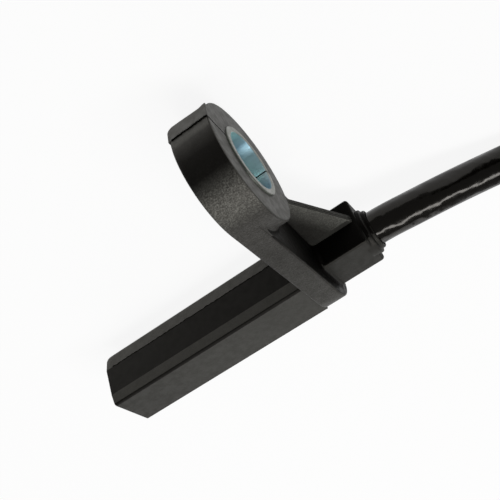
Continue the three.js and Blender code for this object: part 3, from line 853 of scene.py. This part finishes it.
def painted_light_grain_sheen(normal, centre, spot):
    """Tone, grain and sheen of the moulding, in the head's frame. The tone is painted light and
    shade by which way a face looks and how deep it sits.
    """
    turned = Matrix.Rotation(-CLOCKING, 3, "Z")
    facing, own = turned @ normal, turned @ spot
    from_eye = Vector((spot.x, spot.y - BOLT_DISTANCE))
    if centre.z < 0:
        return nose_painted_light(facing, turned @ centre, own)
    if from_eye.length < EYE_RADIUS + 0.8 and centre.y > 15:
        return eye_painted_light(normal, centre, from_eye)
    if centre.z < PLATE - 0.05:
        return blend(spot.y, ((-4, 0.15), (14, 0.08))), 0.8, 0.18
    # Painted shade in the foot round the eye, near black.
    if from_eye.length < EYE_RADIUS + 0.8 and centre.z < PLATE + 1 and normal.z > 0.1:
        return 0.03, 0.4, 0.1
    # Painted shade on the plate between the rib, the box and the eye, darkest by the box.
    if normal.z > 0.8 and centre.z < PLATE + 0.1:
        return blend(spot.y, ((4.5, 0.0), (9, 0.01), (14, 0.04))), 0.4, 0.08
    if facing.x < -0.8 and centre.y > 4.2:
        return rib_painted_shade(spot)
    if facing.x < -0.7:
        return 0.1, 0.15, 0.12
    # Painted shade: the box's side turned from the lamps, near black.
    if facing.y > 0.7:
        return 0.004, 0.0, 0.05
    # Painted shade in the rib's crest groove, near black.
    if 4.2 < centre.y < 14.5 and normal.z > 0.3:
        return (0.0 if 0.4 < centre.x < 0.58 else 0.17), 0.3, 0.1
    if centre.z > BOX_END - 0.6 and centre.y < 4.3:
        return 0.05, 0.2, 0.1
    return 0.1, 0.4, 0.12


def paint_light_on_moulding(mesh):
    """Writes the painted light and shade, grain and sheen of each face's corners as an attribute."""
    layer = mesh.attributes.new("moulding", "FLOAT_COLOR", "CORNER")
    back = HEAD.inverted()
    turn_back = LYING.transposed()
    on_flash_painted_shade = [value.value for value in mesh.attributes["flash_painted_shade"].data]
    for face in mesh.polygons:
        normal = turn_back @ face.normal
        centre = back @ face.center
        for corner in face.loop_indices:
            spot = back @ mesh.vertices[mesh.loops[corner].vertex_index].co
            light_grain_sheen = painted_light_grain_sheen(normal, centre, spot)
            # Flash ridges are painted near black as a shade line.
            layer.data[corner].color = (0, 0, 0.03, 1) if on_flash_painted_shade[face.index] else (*light_grain_sheen, 1)


def make_head():
    bore = loft(
        [
            [(x, y + BOLT_DISTANCE, z) for x, y in disc(BOLT_BORE_RADIUS)]
            for z in (-1, EYE_HEIGHT + 1)
        ]
    )
    lead_bore = loft(
        [[(x, y, z) for x, y in disc(CABLE_RADIUS + 0.2)] for z in (PLATE - 1.4, COLLAR_END + 1)]
    )
    shape = combine(
        "sensor_head",
        plate(),
        [
            ("UNION", eye()),
            ("UNION", eye_fillet()),
            ("UNION", pad()),
            ("UNION", rib()),
            ("UNION", lead_box()),
            ("UNION", box_foot()),
            ("UNION", collar()),
            ("UNION", nose()),
            ("DIFFERENCE", bore),
            ("DIFFERENCE", cavity()),
            ("DIFFERENCE", lead_bore),
        ],
    )
    # Faces of the flash ridges, later painted near black as a shade line.
    flash_painted_shade = shape.faces.layers.int.new("flash_painted_shade")
    body = set(shape.faces)
    for line in parting_lines():
        ridge = mesh_of("ridge", line)
        shape.from_mesh(ridge)
        bpy.data.meshes.remove(ridge)
    for face in shape.faces:
        face[flash_painted_shade] = face not in body
    cuts = ((Vector((0, 0, 1)), 4, 11, 0.7), (Vector((0, 1, 0)), 4.5, 14, 1.5))
    for normal, low, high, step in cuts:
        level = low
        while level < high:
            parts = shape.verts[:] + shape.edges[:] + shape.faces[:]
            bmesh.ops.bisect_plane(shape, geom=parts, plane_co=normal * level, plane_no=normal)
            level += step
    head = settle("sensor_head", shape, "housing_plastic", HEAD)
    flatten_flats(head)
    paint_light_on_moulding(head.data)
    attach(head, "root")
    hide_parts("sensor_housing")


make_head()


# Rolled bushing with its butt seam


def make_bushing():
    bore, outer, chamfer = BUSHING_BORE_RADIUS, BUSHING_RADIUS, 0.14
    low, high = -BUSHING_SEAT, BUSHING_TOP
    profile = (
        (bore, low + chamfer),
        (bore + chamfer, low),
        (outer - 0.08, low),
        (outer, low + 0.08),
        (outer, high - 0.08),
        (outer - 0.08, high),
        (bore + chamfer, high),
        (bore + 0.04, high - 0.04),
        (bore, high - chamfer),
    )
    seam, gap, count = math.radians(-70), 0.22 / bore, 128
    loops = []
    for k in range(count + 1):
        angle = seam + gap / 2 + (math.tau - gap) * k / count
        loops.append(
            [(r * math.cos(angle), BOLT_DISTANCE + r * math.sin(angle), z) for r, z in profile]
        )
    bushing = settle("rolled_bushing", loft(loops), "bushing_steel", HEAD, 25)
    mesh = bushing.data
    layer = mesh.attributes.new("round", "FLOAT", "CORNER")
    back = HEAD.inverted()
    for face in mesh.polygons:
        centre = back @ face.center
        on_bore = math.hypot(centre.x, centre.y - BOLT_DISTANCE) < bore + 0.03
        for corner in face.loop_indices:
            spot = back @ mesh.vertices[mesh.loops[corner].vertex_index].co
            angle = math.atan2(spot.y - BOLT_DISTANCE, spot.x) - seam
            # Share of the way round the bore, which picks the passivation tint and the painted
            # glare.
            round_way = ((angle - 0.02) % math.tau) / math.tau * 0.68
            layer.data[corner].value = round_way if on_bore else 1.0
    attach(bushing, "root")
    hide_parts("bolt_bushing")


make_bushing()


# Tie round the coil


def make_tie():
    low = TURN_HEIGHTS[0] - CABLE_RADIUS
    high = TURN_HEIGHTS[1] + CABLE_RADIUS
    near, far = TURN_RADII[1] - CABLE_RADIUS, TURN_RADII[0] + CABLE_RADIUS
    radius = CABLE_RADIUS
    corners = [
        (near - STRAP, low - STRAP + 0.01, radius + STRAP),
        (far + STRAP, low - STRAP + 0.01, radius + STRAP),
        (far + STRAP, high + STRAP, radius + STRAP),
        (near - STRAP, high + STRAP, radius + STRAP),
    ]
    loops = []
    width = 2.4
    for inset, across in ((0, -width), (0, width), (STRAP - 0.02, width), (STRAP - 0.02, -width)):
        loops.append([(r, across, z) for r, z in outline(corners, inset, 8)])
    shape = bmesh.new()
    rows = [[shape.verts.new(p) for p in loop] for loop in loops]
    for a, b in zip(rows, rows[1:] + rows[:1]):
        for i in range(len(a)):
            j = (i + 1) % len(a)
            shape.faces.new((a[i], a[j], b[j], b[i]))
    block = [
        (near - 4.3, 1.6, 0.6),
        (near - 0.1, 1.6, 0.4),
        (near - 0.1, 6.6, 0.4),
        (near - 4.3, 6.6, 0.6),
    ]
    ends = ((0.4, -3.0), (0.1, -2.9), (0, -2.6), (0, 2.6), (0.1, 2.9), (0.4, 3.0))
    lock = loft([[(r, across, z) for r, z in outline(block, inset, 4)] for inset, across in ends])
    lock_mesh = mesh_of("lock", lock)
    shape.from_mesh(lock_mesh)
    bpy.data.meshes.remove(lock_mesh)
    place = Matrix.Translation(COIL) @ Matrix.Rotation(TIE_ANGLE, 4, "Z") @ Matrix.Scale(MM, 4)
    tie = settle("strap_tie", shape, "plug_plastic", place, 35)
    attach(tie, "root")
    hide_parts("coil_tie")
    return tie


tie = make_tie()


# Plug: the solids with softened edges


def soften(node, name, slot, width):
    """Copy of a node with its loose triangles joined and its edges broken."""
    source = frame["nodes"][node]
    shape = bmesh.new()
    shape.from_mesh(source.data)
    bmesh.ops.remove_doubles(shape, verts=shape.verts, dist=1e-6)
    bmesh.ops.dissolve_limit(
        shape, angle_limit=math.radians(1), verts=shape.verts, edges=shape.edges
    )
    piece = new_piece(name, mesh_of(name, shape), slot)
    edge = piece.modifiers.new("edges", "BEVEL")
    edge.width = width * MM
    edge.segments = 2
    edge.limit_method = "ANGLE"
    edge.angle_limit = math.radians(35)
    made = applied(piece)
    piece.modifiers.clear()
    piece.data = made
    shade_by_angle(made, 40)
    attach(piece, "root")
    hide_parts(node)
    return piece


plug_pieces = [
    soften("plug_housing", "plug_shell", "plug_plastic", 0.12),
    soften("seal_cap", "plug_seal_cap", "plug_plastic", 0.12),
    soften("pin_lock", "plug_pin_lock", "lock_plastic", 0.08),
    soften("plug_seal", "plug_wire_seal", "seal_rubber", 0.08),
]


def wire(name, node, slot, route, radius):
    holder = tube(name, route, radius, 4)
    mesh = applied(holder)
    bpy.data.objects.remove(holder)
    mesh.shade_smooth()
    piece = new_piece(name, mesh, slot)
    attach(piece, "root")
    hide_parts(node)
    return piece


def plug_wires():
    """The two cores from the jacket's end into the plug."""
    made = []
    for number, (side, slot) in enumerate(((-1, "core_dark"), (1, "core_light")), start=1):
        stations = ((-8.2, 2.7), (-0.4, 2.7), (2.9, 2.7), (6.3, 1.95), (9.5, 1.2), (10.9, 1.2))
        route = [PLUG + Vector((along, -side * off, 0)) * MM for along, off in stations]
        node = f"plug_core_{number}"
        made.append(wire(f"plug_wire_{number}", node, slot, catmull(route, 6), 0.8))
    return made


plug_pieces += plug_wires()


# Nodes that keep their own shape take their finish

for entry in frame["record"]["subparts"]:
    node = frame["nodes"][entry["node"]]
    node.data.materials.clear()
    node.data.materials.append(MATERIALS[entry["material_slot"]])

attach(cable, "root")
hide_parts("cable_lead", "cable_coil", "cable_tail")


# Floor and light


def make_floor():
    mesh = bpy.data.meshes.new("floor")
    reach = 3.0
    mesh.from_pydata(
        [(-reach, -reach, 0), (reach, -reach, 0), (reach, reach, 0), (-reach, reach, 0)],
        [],
        [(0, 1, 2, 3)],
    )
    floor = bpy.data.objects.new("floor", mesh)
    bpy.context.collection.objects.link(floor)
    n = Nodes("pale_floor")
    n.set(Base_Color=rgb(0.8, 0.8, 0.79), Roughness=0.9, Specular_IOR_Level=0.1)
    glow = n.add("ShaderNodeEmission")
    glow.inputs["Color"].default_value = rgb(1, 1, 1)
    glow.inputs["Strength"].default_value = 1.0
    path = n.add("ShaderNodeLightPath").outputs
    seen = n.math("ADD", path["Is Camera Ray"], path["Is Glossy Ray"], clamp=True)
    seen = n.math("ADD", seen, path["Is Transmission Ray"], clamp=True)
    either = n.add("ShaderNodeMixShader")
    n.link(n.math("MULTIPLY", seen, 0.9), either.inputs[0])
    n.link(n.shader.outputs[0], either.inputs[1])
    n.link(glow.outputs[0], either.inputs[2])
    n.link(either.outputs[0], n.output.inputs["Surface"])
    mesh.materials.append(n.material)


def make_world():
    world = bpy.data.worlds.new("studio")
    world.use_nodes = True
    bpy.context.scene.world = world
    tree = world.node_tree
    ground = tree.nodes["Background"]
    ground.inputs["Color"].default_value = (1, 1, 1, 1)
    ground.inputs["Strength"].default_value = 0.2


def softbox(name, place, target, width, height, radiance, turn=0.0):
    light = bpy.data.lights.new(name, "AREA")
    light.shape = "RECTANGLE"
    light.size = width
    light.size_y = height
    light.energy = radiance * math.pi * width * height
    lamp = bpy.data.objects.new(name, light)
    lamp.location = place
    aim = (Vector(target) - Vector(place)).to_track_quat("-Z", "Y").to_matrix()
    lamp.rotation_euler = (aim @ Matrix.Rotation(math.radians(turn), 3, "Z")).to_euler()
    bpy.context.collection.objects.link(lamp)


make_floor()
make_world()
softbox("back_softbox", (-0.25, -0.45, 0.22), (0.0, 0.0, 0.0), 0.7, 0.4, 1.2)
softbox("strip_softbox", (0.15, -0.16, 0.6), (0.15, -0.16, 0.0), 0.8, 0.15, 9, -32)

bpy.context.scene.view_settings.view_transform = "Standard"
